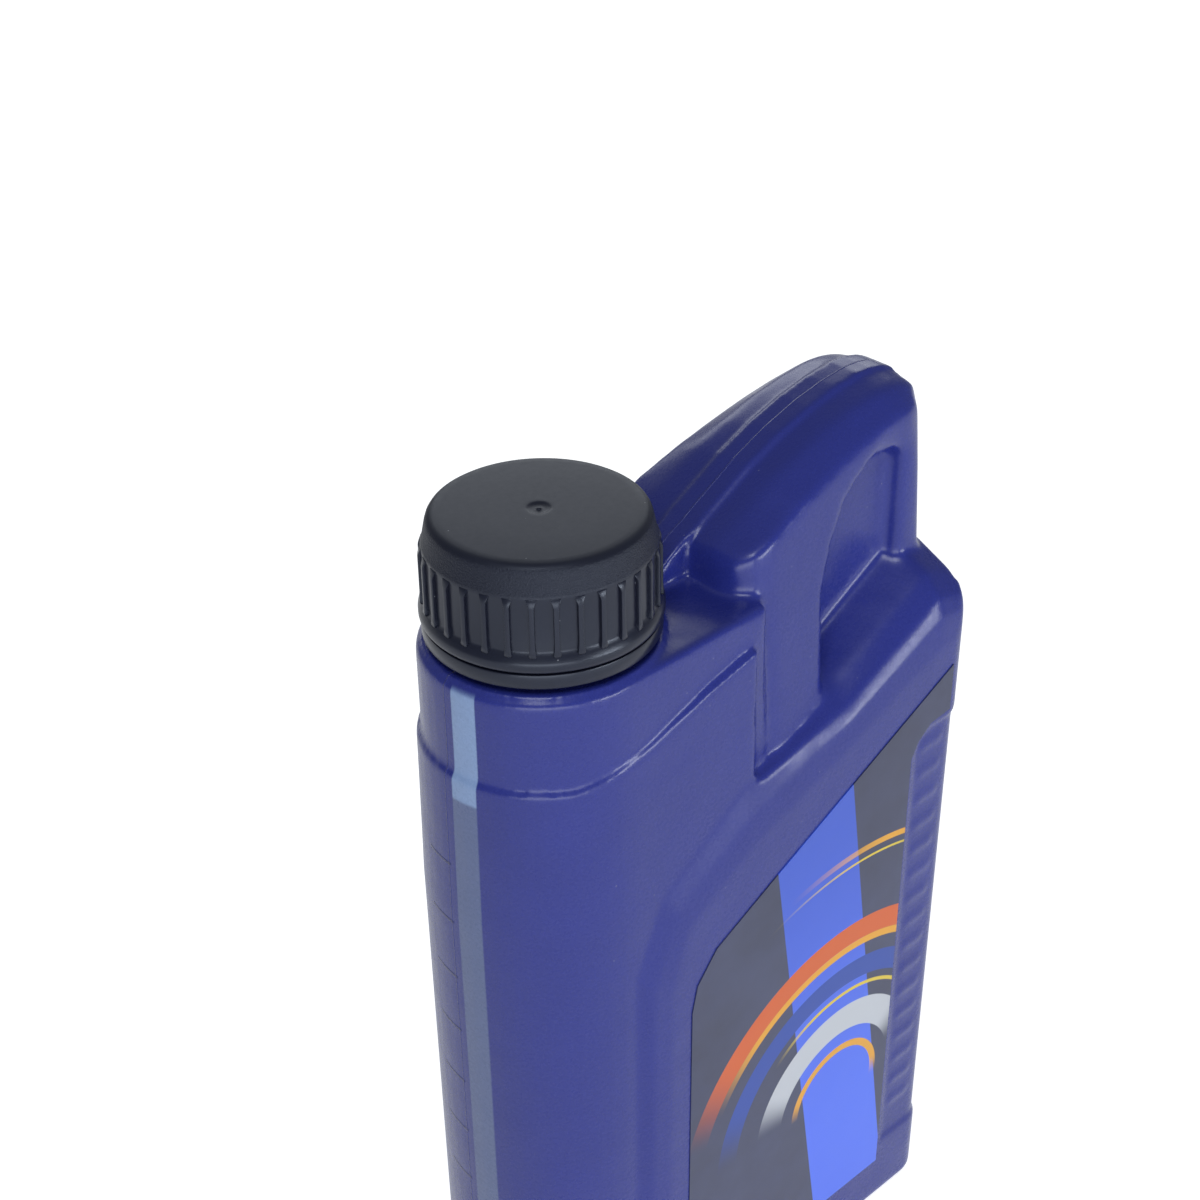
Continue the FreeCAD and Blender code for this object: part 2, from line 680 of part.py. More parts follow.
# Oil up to its level, a small gap inside the walls
level = from_seam("oil_drop")
oil_pieces = [narrow_end("end_oil", "(wall + oil_gap)"), neck_block("block_oil", "(wall + oil_gap)"),
              label_half("slab_oil", "(wall + oil_gap)")]
oil_all = join("MultiFuse", "oil_everywhere", oil_pieces)
above = new_body("above_level")
above_sketch = outline(above, "above_plan", "XY_Plane", level, [
    ("-body_length", "-body_length"), ("body_length", "-body_length"), ("body_length", "body_length"),
    ("-body_length", "body_length")])
above_pad = above.newObject("PartDesign::Pad", "above_prism")
above_pad.Profile = above_sketch
bind(above_pad, "Length", "2 * oil_drop + cap_height")
doc.recompute()
oil_poured = cut("oil_poured", oil_all, above)
oil_step = raised_base("oil_step", "(wall + oil_gap)", "push_up + wall + oil_gap")
oil = cut("oil_form", oil_poured, oil_step)

NODES = {
    "bottle_body": shell,
    "screw_cap": cap,
    "tamper_ring": ring,
    "cap_liner": liner,
    "front_label": front_label,
    "back_label": back_label,
    "motor_oil": oil,
}
doc.recompute()
for item in doc.Objects:
    if "Invalid" in item.State or "Error" in item.State:
        raise RuntimeError("failed: %s %s" % (item.Name, item.State))
os.makedirs("parts", exist_ok=True)
for node, item in NODES.items():
    item.Label = node
    if item.Shape.isNull() or not item.Shape.isValid():
        raise RuntimeError("bad shape: " + node)
    item.Shape.exportStep("parts/%s.step" % node)
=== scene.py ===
"""Motor oil bottle: the moulded skin, ribbed screw cap, tamper ring, sealing disc, labels and oil."""

import json
import math

import bpy
from mathutils import Matrix, Vector

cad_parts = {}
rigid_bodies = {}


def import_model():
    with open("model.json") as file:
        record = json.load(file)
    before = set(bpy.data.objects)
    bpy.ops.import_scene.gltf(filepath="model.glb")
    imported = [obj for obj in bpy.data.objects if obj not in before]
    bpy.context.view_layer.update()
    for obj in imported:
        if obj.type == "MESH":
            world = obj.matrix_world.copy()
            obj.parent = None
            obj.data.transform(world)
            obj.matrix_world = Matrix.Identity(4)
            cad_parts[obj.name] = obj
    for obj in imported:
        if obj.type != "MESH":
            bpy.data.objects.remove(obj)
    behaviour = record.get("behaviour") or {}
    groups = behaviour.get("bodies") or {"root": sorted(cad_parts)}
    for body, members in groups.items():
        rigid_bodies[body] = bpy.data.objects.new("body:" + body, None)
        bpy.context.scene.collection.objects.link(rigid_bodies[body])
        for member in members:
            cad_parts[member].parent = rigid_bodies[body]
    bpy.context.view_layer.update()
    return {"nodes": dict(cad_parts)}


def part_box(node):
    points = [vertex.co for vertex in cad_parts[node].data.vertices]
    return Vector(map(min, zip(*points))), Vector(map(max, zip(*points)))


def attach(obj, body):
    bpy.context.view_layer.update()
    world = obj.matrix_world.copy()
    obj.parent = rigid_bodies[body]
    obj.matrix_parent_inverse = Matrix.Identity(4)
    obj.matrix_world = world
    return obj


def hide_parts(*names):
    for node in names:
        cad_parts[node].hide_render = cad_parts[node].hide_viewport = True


bl_info = {
    "name": "Motor Oil Bottle",
    "version": (1, 0, 0),
    "blender": (4, 5, 0),
    "location": "View3D > Sidebar > Bottle",
    "description": "Dresses the oil bottle's frame and sets its stage",
    "category": "Add Mesh",
}

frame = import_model()

# Places taken from the frame. The neck's axis is the cap's, and the seam lies between cap and ring
MM = 0.001
CAP_LOW, CAP_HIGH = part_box("screw_cap")
LINER_LOW, LINER_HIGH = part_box("cap_liner")
LABEL_LOW, LABEL_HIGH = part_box("front_label")
AXIS_X = (CAP_LOW.x + CAP_HIGH.x) / 2
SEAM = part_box("tamper_ring")[1].z
OIL_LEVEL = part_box("motor_oil")[1].z
NECK_TOP = LINER_LOW.z - 0.1 * MM

# Vertices around a turned form, and the angles in degrees above which an edge stays crisp
AROUND = 128
TURNED_CRISP = 38
SKIN_CRISP = 50


# Settings that a user would change
class SkinSettings(bpy.types.PropertyGroup):
    voxel: bpy.props.FloatProperty(
        name="Voxel", description="Size of the skin's first mesh", default=0.55 * MM,
        subtype="DISTANCE", unit="LENGTH")
    triangles: bpy.props.IntProperty(
        name="Triangles", description="Most triangles in the outer skin", default=170000)
    plastic: bpy.props.FloatVectorProperty(
        name="Plastic", description="Colour of the bottle's plastic", size=3,
        default=(0.024, 0.034, 0.250), subtype="COLOR")
    # The stripe's colours are partly painted light: the pale one stands in for light shining through the
    # clear stripe, and the darker one over the oil is partly the oil's colour, partly painted shade
    stripe: bpy.props.FloatVectorProperty(
        name="Stripe", description="Colour of the clear level stripe above the oil", size=3,
        default=(0.28, 0.40, 0.66), subtype="COLOR")
    stripe_oil_and_shade: bpy.props.FloatVectorProperty(
        name="Stripe over oil", size=3,
        description="Colour of the level stripe where oil stands behind it",
        default=(0.125, 0.165, 0.33), subtype="COLOR")
    roughness: bpy.props.FloatProperty(
        name="Roughness", description="Roughness of the satin surface", default=0.27,
        subtype="FACTOR")


class CapSettings(bpy.types.PropertyGroup):
    ribs: bpy.props.IntProperty(name="Ribs", description="Number of grip ribs", default=32)
    plastic: bpy.props.FloatVectorProperty(
        name="Plastic", description="Colour of cap and ring", size=3,
        default=(0.0085, 0.010, 0.022), subtype="COLOR")
    foam: bpy.props.FloatVectorProperty(
        name="Foam", description="Colour of the sealing disc", size=3,
        default=(0.72, 0.72, 0.68), subtype="COLOR")


class PrintSettings(bpy.types.PropertyGroup):
    # The ground is dark print, its blue tint partly painted sheen
    ground: bpy.props.FloatVectorProperty(
        name="Ground", description="Colour of the label's ground", size=3,
        default=(0.040, 0.047, 0.100), subtype="COLOR")
    panel: bpy.props.FloatVectorProperty(
        name="Panel", description="Colour of the label's wide band", size=3,
        default=(0.045, 0.11, 0.62), subtype="COLOR")
    streak: bpy.props.FloatVectorProperty(
        name="Streak", description="Colour of the label's thin streaks", size=3,
        default=(0.90, 0.42, 0.03), subtype="COLOR")
    oil: bpy.props.FloatVectorProperty(
        name="Oil", description="Colour of the oil", size=3,
        default=(0.42, 0.20, 0.03), subtype="COLOR")


class StageSettings(bpy.types.PropertyGroup):
    key_power: bpy.props.FloatProperty(
        name="Key light", description="Strength of the key light, which the other lights follow",
        default=3.0, unit="POWER")
    world: bpy.props.FloatProperty(
        name="Surround", description="Strength of the surround's light", default=0.18)
    glossy_share: bpy.props.FloatProperty(
        name="Surround in gloss", description="How much of the white surround reflections see",
        default=0.05, subtype="FACTOR")


# Selecting and shaping
def plain_selection():
    """Nothing selected, in object mode."""
    if bpy.context.object and bpy.context.object.mode != "OBJECT":
        bpy.ops.object.mode_set(mode="OBJECT")
    bpy.ops.object.select_all(action="DESELECT")


def pick(piece):
    """Makes one piece the only selected and active one."""
    plain_selection()
    piece.select_set(True)
    bpy.context.view_layer.objects.active = piece


def edit(piece, mode="VERT"):
    """Starts editing a piece with nothing in it selected."""
    pick(piece)
    bpy.ops.object.mode_set(mode="EDIT")
    bpy.ops.mesh.select_mode(type=mode)
    bpy.ops.mesh.select_all(action="DESELECT")


def select_faces(piece, test):
    """Selects the faces whose centre and normal pass a test, and leaves the piece in edit mode."""
    edit(piece, "FACE")
    bpy.ops.object.mode_set(mode="OBJECT")
    for face in piece.data.polygons:
        face.select = test(face.center, face.normal)
    bpy.ops.object.mode_set(mode="EDIT")


def end_edit():
    """Back to object mode."""
    bpy.ops.object.mode_set(mode="OBJECT")


def apply_modifier(piece, kind, name, **values):
    """Adds one modifier with these values and applies it."""
    pick(piece)
    modifier = piece.modifiers.new(name, kind)
    for key, value in values.items():
        setattr(modifier, key, value)
    bpy.ops.object.modifier_apply(modifier=name)


def joined(pieces, name):
    """Several pieces as one."""
    plain_selection()
    for piece in pieces:
        piece.select_set(True)
    bpy.context.view_layer.objects.active = pieces[0]
    bpy.ops.object.join()
    pieces[0].name = name
    return pieces[0]


def settle(piece):
    """Puts a piece's place, turn and scale into its mesh."""
    pick(piece)
    bpy.ops.object.transform_apply(location=True, rotation=True, scale=True)
    return piece


def from_axis(across, depth, rise):
    """A point given in millimetres from the neck's axis and from the seam."""
    return Vector((AXIS_X + across * MM, depth * MM, SEAM + rise * MM))


def turned(name, profile, close_start=True, close_end=True):
    """A turned form: one ring of edges extruded and scaled along pairs of radius and rise."""
    plain_selection()
    radius, rise = profile[0]
    bpy.ops.mesh.primitive_circle_add(
        vertices=AROUND, radius=radius * MM, fill_type="NGON" if close_start else "NOTHING",
        location=from_axis(0, 0, rise))
    piece = bpy.context.object
    piece.name = name
    settle(piece)
    bpy.ops.object.mode_set(mode="EDIT")
    bpy.ops.mesh.select_mode(type="EDGE")
    bpy.ops.mesh.select_all(action="SELECT")
    if close_start:
        bpy.ops.mesh.region_to_loop()
    for next_radius, next_rise in profile[1:]:
        bpy.ops.mesh.extrude_edges_move(
            TRANSFORM_OT_translate={"value": (0, 0, (next_rise - rise) * MM)})
        scale = next_radius / radius
        bpy.ops.transform.resize(value=(scale, scale, 1), center_override=from_axis(0, 0, next_rise))
        radius, rise = next_radius, next_rise
    if close_end:
        bpy.ops.mesh.edge_face_add()
    bpy.ops.mesh.select_all(action="SELECT")
    bpy.ops.mesh.remove_doubles(threshold=0.001 * MM)
    bpy.ops.mesh.normals_make_consistent(inside=False)
    end_edit()
    return piece


def ring_between(piece):
    """Joins the open first and last rings of a turned piece."""
    edit(piece, "EDGE")
    bpy.ops.mesh.select_non_manifold(extend=False)
    bpy.ops.mesh.bridge_edge_loops()
    bpy.ops.mesh.select_all(action="SELECT")
    bpy.ops.mesh.normals_make_consistent(inside=False)
    end_edit()


def thread(name, radius, depth, low, turns, pitch, width):
    """A thread ridge: a small section carried along a helix about the neck's axis."""
    steps = int(72 * turns)
    section = bpy.data.curves.new(name + "_section", "CURVE")
    outline = section.splines.new("POLY")
    corners = ((-0.3, -width / 2), (depth, -width / 5), (depth, width / 5), (-0.3, width / 2))
    outline.points.add(len(corners) - 1)
    for point, (out, up) in zip(outline.points, corners):
        point.co = (-out * MM, up * MM, 0, 1)
    outline.use_cyclic_u = True
    section_object = bpy.data.objects.new(name + "_section", section)
    bpy.context.collection.objects.link(section_object)
    path = bpy.data.curves.new(name, "CURVE")
    path.dimensions = "3D"
    path.twist_mode = "Z_UP"
    helix = path.splines.new("POLY")
    helix.points.add(steps)
    for step, point in enumerate(helix.points):
        angle = math.tau * turns * step / steps
        rise = low + pitch * turns * step / steps
        place = from_axis(radius * math.cos(angle), radius * math.sin(angle), rise)
        point.co = (*place, 1)
    path.bevel_mode = "OBJECT"
    path.bevel_object = section_object
    path.use_fill_caps = True
    ridge = bpy.data.objects.new(name, path)
    bpy.context.collection.objects.link(ridge)
    pick(ridge)
    bpy.ops.object.convert(target="MESH")
    ridge = bpy.context.object
    bpy.data.objects.remove(section_object)
    edit(ridge)
    bpy.ops.mesh.select_all(action="SELECT")
    bpy.ops.mesh.normals_make_consistent(inside=False)
    end_edit()
    return ridge


def smooth_by_angle(piece, degrees):
    """Smooth shading with edges sharper than this kept crisp."""
    pick(piece)
    bpy.ops.object.shade_smooth_by_angle(angle=math.radians(degrees))


def dress(piece, material):
    """Gives a piece one material, in its only slot."""
    piece.data.materials.clear()
    piece.data.materials.append(material)
    for face in piece.data.polygons:
        face.material_index = 0


# Materials
class Paint:
    """A material's nodes, wired by small calls that return sockets."""

    def __init__(self, name):
        self.material = bpy.data.materials.new(name)
        self.material.use_nodes = True
        self.tree = self.material.node_tree
        self.shader = self.tree.nodes["Principled BSDF"]

    def node(self, kind, **values):
        made = self.tree.nodes.new(kind)
        for key, value in values.items():
            setattr(made, key, value)
        return made

    def put(self, socket, value):
        """Sets a socket to a plain value, or links it."""
        if hasattr(value, "is_output"):
            self.tree.links.new(value, socket)
        elif value is not None:
            socket.default_value = value

    def math(self, operation, first, second=None, third=None):
        made = self.node("ShaderNodeMath", operation=operation)
        for socket, value in zip(made.inputs, (first, second, third)):
            self.put(socket, value)
        return made.outputs[0]

    def place(self):
        """x from the neck's axis, y and rise above the seam, all in millimetres."""
        coordinates = self.node("ShaderNodeTexCoord")
        mapping = self.node("ShaderNodeMapping", vector_type="POINT")
        mapping.inputs["Location"].default_value = (-AXIS_X / MM, 0, -SEAM / MM)
        mapping.inputs["Scale"].default_value = (1 / MM,) * 3
        self.put(mapping.inputs["Vector"], coordinates.outputs["Object"])
        apart = self.node("ShaderNodeSeparateXYZ")
        self.put(apart.inputs[0], mapping.outputs[0])
        self.vector = mapping.outputs[0]
        return apart.outputs

    def step(self, value, edge, soft):
        """0 below the edge and 1 above it, with a soft change."""
        made = self.node("ShaderNodeMapRange", interpolation_type="SMOOTHSTEP")
        self.put(made.inputs["Value"], value)
        made.inputs["From Min"].default_value = edge - soft
        made.inputs["From Max"].default_value = edge + soft
        return made.outputs["Result"]

    def below(self, value, edge, soft):
        """1 below the edge and 0 above it, with a soft change."""
        return self.math("SUBTRACT", 1.0, self.step(value, edge, soft))

    def band(self, value, low, high, soft):
        """1 between two edges and 0 outside."""
        return self.math("MULTIPLY", self.step(value, low, soft), self.below(value, high, soft))

    def shades(self, factor, colour, low, high):
        """A colour that drifts with the factor between two shares of itself."""
        return self.mix(factor, [low * part for part in colour], [high * part for part in colour])

    def specked(self, base, scale, radius, soft, share, colour):
        """A base with small scattered specks of another colour."""
        specks = self.node("ShaderNodeTexVoronoi", feature="F1")
        self.put(specks.inputs["Vector"], self.vector)
        specks.inputs["Scale"].default_value = scale
        speck = self.below(specks.outputs["Distance"], radius, soft)
        return self.mix(self.math("MULTIPLY", speck, share), base, colour)

    def noise(self, scale, detail=3.0, roughness=0.5):
        made = self.node("ShaderNodeTexNoise")
        self.put(made.inputs["Vector"], self.vector)
        made.inputs["Scale"].default_value = scale
        made.inputs["Detail"].default_value = detail
        made.inputs["Roughness"].default_value = roughness
        return made.outputs["Fac"]

    def mix(self, factor, first, second):
        """One colour into another by a factor."""
        made = self.node("ShaderNodeMix", data_type="RGBA")
        self.put(made.inputs[0], factor)
        for socket, value in ((made.inputs[6], first), (made.inputs[7], second)):
            if not hasattr(value, "is_output"):
                value = (*value, 1)
            self.put(socket, value)
        return made.outputs[2]

    def range(self, value, low, high):
        """A 0 to 1 value spread from low to high."""
        return self.math("MULTIPLY_ADD", value, high - low, low)

    def bump(self, height, strength, distance, below=None):
        made = self.node("ShaderNodeBump")
        made.inputs["Strength"].default_value = strength
        made.inputs["Distance"].default_value = distance * MM
        self.put(made.inputs["Height"], height)
        self.put(made.inputs["Normal"], below)
        return made.outputs["Normal"]

    def finish(self, **values):
        """Sets the shader's own sockets by name."""
        for key, value in values.items():
            self.put(self.shader.inputs[key.replace("_", " ")], value)
        return self.material


# The level stripe: its bearings from the neck's axis, in degrees, and its top, in millimetres
STRIPE_FROM = 4.4
STRIPE_TO = 17.7
STRIPE_TOP = -6.2

# The marks beside it: the first one's rise, their spacing, number, bearings, half height and colour
MARK_FIRST = -48.3
MARK_SPACING = 14.9
MARK_COUNT = 10
MARK_FROM = -16.0
MARK_TO = 1.0
MARK_HALF = 0.32
MARK_COLOUR = (0.006, 0.008, 0.05)

# The cap's textured band, from and to in millimetres, the tint of its gloss, and the dust on both plastics
BAND_LOW = 16.0
BAND_HIGH = 21.1
CAP_TINT = (0.80, 0.87, 1.0, 1.0)
SPECK_ON_BOTTLE = (0.6, 0.62, 0.7)
SPECK_ON_CAP = (0.5, 0.5, 0.55)


def bottle_plastic(settings):
    """Satin blue polyethylene with a clear level stripe whose colours are partly painted light shining
    through it, its marks and the mould's parting line.
    """
    paint = Paint("bottle plastic")
    across, depth, rise = paint.place()
    back_across = paint.math("MULTIPLY", across, -1.0)
    front_depth = paint.math("MULTIPLY", depth, -1.0)
    angle = paint.math("MULTIPLY", paint.math("ARCTAN2", front_depth, back_across), 180 / math.pi)
    on_end = paint.below(across, -5.0, 0.5)
    below_brim = paint.below(rise, STRIPE_TOP, 0.8)
    stripe = paint.band(angle, STRIPE_FROM, STRIPE_TO, 0.35)
    stripe = paint.math("MULTIPLY", stripe, paint.math("MULTIPLY", on_end, below_brim))
    # the stripe is painted with the light through it: paler above the oil, darker with painted shade where
    # the oil stands behind it
    wet = paint.below(rise, (OIL_LEVEL - SEAM) / MM, 0.5)
    stripe_with_painted_light = paint.mix(wet, tuple(settings.stripe), tuple(settings.stripe_oil_and_shade))

    # the marks repeat down the end, so they are folded onto one
    folded = paint.math("PINGPONG", paint.math("SUBTRACT", rise, MARK_FIRST), MARK_SPACING / 2)
    line = paint.below(folded, MARK_HALF, 0.12)
    marks = paint.math("MULTIPLY", line, paint.band(angle, MARK_FROM, MARK_TO, 0.5))
    last = MARK_FIRST - (MARK_COUNT - 0.5) * MARK_SPACING
    marks = paint.math("MULTIPLY", marks, paint.band(rise, last, MARK_FIRST + 1, 0.2))
    marks = paint.math("MULTIPLY", marks, on_end)

    base = paint.shades(paint.noise(0.06, 2.0), settings.plastic, 0.92, 1.08)
    base = paint.mix(stripe, base, stripe_with_painted_light)
    base = paint.mix(paint.math("MULTIPLY", marks, 0.55), base, MARK_COLOUR)
    base = paint.specked(base, 0.16, 0.022, 0.012, 0.35, SPECK_ON_BOTTLE)

    peel = paint.noise(1.1, 2.0)
    wave = paint.noise(0.09, 1.5)
    normal = paint.bump(wave, 0.30, 0.9)
    normal = paint.bump(peel, 0.10, 0.05, normal)
    parting = paint.below(paint.math("ABSOLUTE", depth), 0.14, 0.1)
    raised = paint.math("ADD", parting, marks)
    normal = paint.bump(raised, 0.6, 0.25, normal)
    rough = settings.roughness
    gloss = paint.range(paint.noise(0.8, 4.0, 0.6), rough - 0.05, rough + 0.06)
    return paint.finish(Base_Color=base, Roughness=gloss, IOR=1.50, Normal=normal)


def cap_plastic(settings):
    """Dark plastic: satin top and skirt, with a spark-textured band between them."""
    paint = Paint("cap plastic")
    rise = paint.place()[2]
    band = paint.band(rise, BAND_LOW, BAND_HIGH, 0.35)
    grain = paint.noise(2.6, 2.0, 0.7)
    fine = paint.noise(0.9, 2.0)
    normal = paint.bump(fine, 0.10, 0.05)
    height = paint.math("MULTIPLY", grain, band)
    normal = paint.bump(height, 0.9, 0.22, normal)
    base = paint.shades(paint.noise(0.10, 3.0), settings.plastic, 0.85, 1.15)
    base = paint.specked(base, 0.22, 0.026, 0.014, 0.4, SPECK_ON_CAP)
    top = paint.step(rise, 21.3, 0.4)
    gloss = paint.math("ADD", paint.range(band, 0.30, 0.52), paint.math("MULTIPLY", top, 0.16))
    gloss = paint.math("ADD", gloss, paint.range(fine, -0.04, 0.04))
    return paint.finish(Base_Color=base, Roughness=gloss, IOR=1.5, Normal=normal,
                        Specular_Tint=CAP_TINT)


def foam(settings):
    """Pale closed-cell foam."""
    paint = Paint("liner foam")
    paint.place()
    cells = paint.noise(1.6, 2.0)
    base = paint.shades(cells, settings.foam, 0.93, 1.0)
    return paint.finish(Base_Color=base, Roughness=0.7, Normal=paint.bump(cells, 0.3, 0.08))


def oil_liquid(settings):
    """Clear amber oil."""
    paint = Paint("motor oil")
    paint.place()
    base = paint.shades(paint.noise(0.03, 1.0), settings.oil, 0.9, 1.0)
    return paint.finish(Base_Color=base, Roughness=0.05, IOR=1.47)


# The print, in millimetres: the wide band's lean and edges, and its fade's middle and reach.
# Then the rings about one point: radii and bearings from and to, and a colour, or None for the streak's own
WIDE_LEAN = 0.16
WIDE_FROM = 27.0
WIDE_TO = 52.0
FADE_RISE = -110.0
FADE_REACH = 60.0
RING_CENTRE = (62.0, -152.0)
RINGS = (
    (72.0, 73.6, 58.0, 92.0, None),
    (69.6, 70.2, 66.0, 98.0, (0.85, 0.62, 0.05)),
    (46.0, 52.0, 20.0, 150.0, (0.75, 0.13, 0.02)),
    (44.0, 46.0, 10.0, 140.0, None),
    (34.0, 40.0, 40.0, 165.0, (0.02, 0.07, 0.40)),
    (31.0, 32.0, 5.0, 120.0, (0.85, 0.62, 0.05)),
    (19.0, 27.0, 30.0, 160.0, (0.62, 0.64, 0.68)),
    (13.0, 15.0, 0.0, 170.0, None),
)


def printed_film(name, settings, mirrored):
    """A glossy film with a dark ground, whose blue tint is partly painted sheen, a wide slanting band and
    thin streaks.
    """
    paint = Paint(name)
    across, _, rise = paint.place()
    if mirrored:
        middle = (LABEL_LOW.x + LABEL_HIGH.x) / 2 - AXIS_X
        across = paint.math("SUBTRACT", 2 * middle / MM, across)
    cloud = paint.noise(0.05, 4.0, 0.6)
    # dark print whose blue tint is partly painted sheen, varied at random by a cloud
    ground = paint.shades(cloud, settings.ground, 0.6, 1.7)

    # a wide band that leans back, lighter towards its lower end
    lean = paint.math("MULTIPLY_ADD", rise, WIDE_LEAN, across)
    wide = paint.band(lean, WIDE_FROM, WIDE_TO, 0.12)
    fade = paint.step(rise, FADE_RISE, FADE_REACH)
    light = [min(1.0, 1.6 * part + 0.02) for part in settings.panel]
    print_colour = paint.mix(wide, ground, paint.mix(fade, light, tuple(settings.panel)))

    # parts of rings about one point, as a worn wheel leaves them: dark between, bright at one side
    ring_across = paint.math("SUBTRACT", across, RING_CENTRE[0])
    ring_rise = paint.math("SUBTRACT", rise, RING_CENTRE[1])
    distance = paint.math("SQRT", paint.math("ADD", paint.math("MULTIPLY", ring_across, ring_across),
                                             paint.math("MULTIPLY", ring_rise, ring_rise)))
    bearing = paint.math("MULTIPLY", paint.math("ARCTAN2", ring_rise, ring_across), 180 / math.pi)
    for low, high, first, last, colour in RINGS:
        arc = paint.math("MULTIPLY", paint.band(distance, low, high, 0.1),
                         paint.band(bearing, first, last, 14.0))
        print_colour = paint.mix(arc, print_colour, colour or tuple(settings.streak))
    gloss = paint.range(cloud, 0.26, 0.34)
    return paint.finish(Base_Color=print_colour, Roughness=gloss, IOR=1.5,
                        Normal=paint.bump(paint.noise(0.10, 1.0), 0.15, 0.5))


# The raised bars in the sunk strip: count, spacing, first rise, place and size, in millimetres
BAR_COUNT = 16
BAR_SPACING = 7.4
BAR_FIRST = -61.0
BAR_PLACE = (88.6, 28.1)
BAR_SIZE = (6.4, 1.8, 2.0)

# How soft the skin is, in regions of which the first that holds a place counts: least distance from the
# neck's axis, depth from and to, rise from and to, and a share. The flat around the neck stays crisp
FAR = 1000.0
NECK_FLAT_RADIUS = 24.6
NECK_FLAT_RISE = -6.5
SOFT_REGIONS = (
    (24.0, -1.0, 6.0, 0.0, FAR, 0.0),
    (74.0, -1.0, FAR, -FAR, -52.0, 0.2),
    (30.0, -1.0, 24.0, -40.0, FAR, 1.0),
    (5.0, 18.0, FAR, -FAR, -26.0, 0.45),
)
SOFT_ELSEWHERE = 0.16
SMOOTH_ALL = 6
SMOOTH_SOFT = 48

# The cap's section, its ribs' stations and the ring's section, in millimetres: pairs of radius and rise,
# and for a rib its rise, half width and depth beyond the root
CAP_PROFILE = (
    (1.0, 20.3), (20.2, 20.3), (20.2, 1.0), (20.5, 0.45), (22.9, 0.35), (23.35, 0.5), (23.6, 0.85),
    (23.7, 1.3), (23.7, 2.2), (23.55, 2.75), (23.0, 3.7), (22.6, 4.35), (22.5, 4.8), (22.45, 15.2),
    (22.5, 15.6), (22.45, 15.9), (22.3, 16.2), (21.55, 19.9), (21.3, 20.7), (20.95, 21.25),
    (20.4, 21.62), (19.7, 21.8), (18.5, 21.86), (10.0, 21.95), (3.4, 21.975), (2.7, 21.975),
    (2.45, 21.95), (2.2, 21.86), (1.9, 21.72), (1.0, 21.66), (0.55, 21.7), (0.3, 21.95), (0.08, 22.0))
RIB_STATIONS = (
    (3.3, 0.30, 0.60), (4.0, 0.75, 0.85), (5.0, 0.60, 0.80), (6.0, 0.50, 0.72),
    (14.0, 0.50, 0.66), (14.6, 0.62, 0.55), (15.7, 1.05, 0.12))
RIB_ROOT = 22.45
RIB_SUNK = 0.5
RING_PROFILE = (
    (19.1, -1.6), (19.1, -3.1), (19.3, -3.3), (22.8, -3.3), (23.1, -3.15), (23.3, -2.8), (23.3, -0.35),
    (23.2, -0.1), (22.95, 0.0), (20.7, 0.0), (20.6, -0.1), (20.6, -1.2))


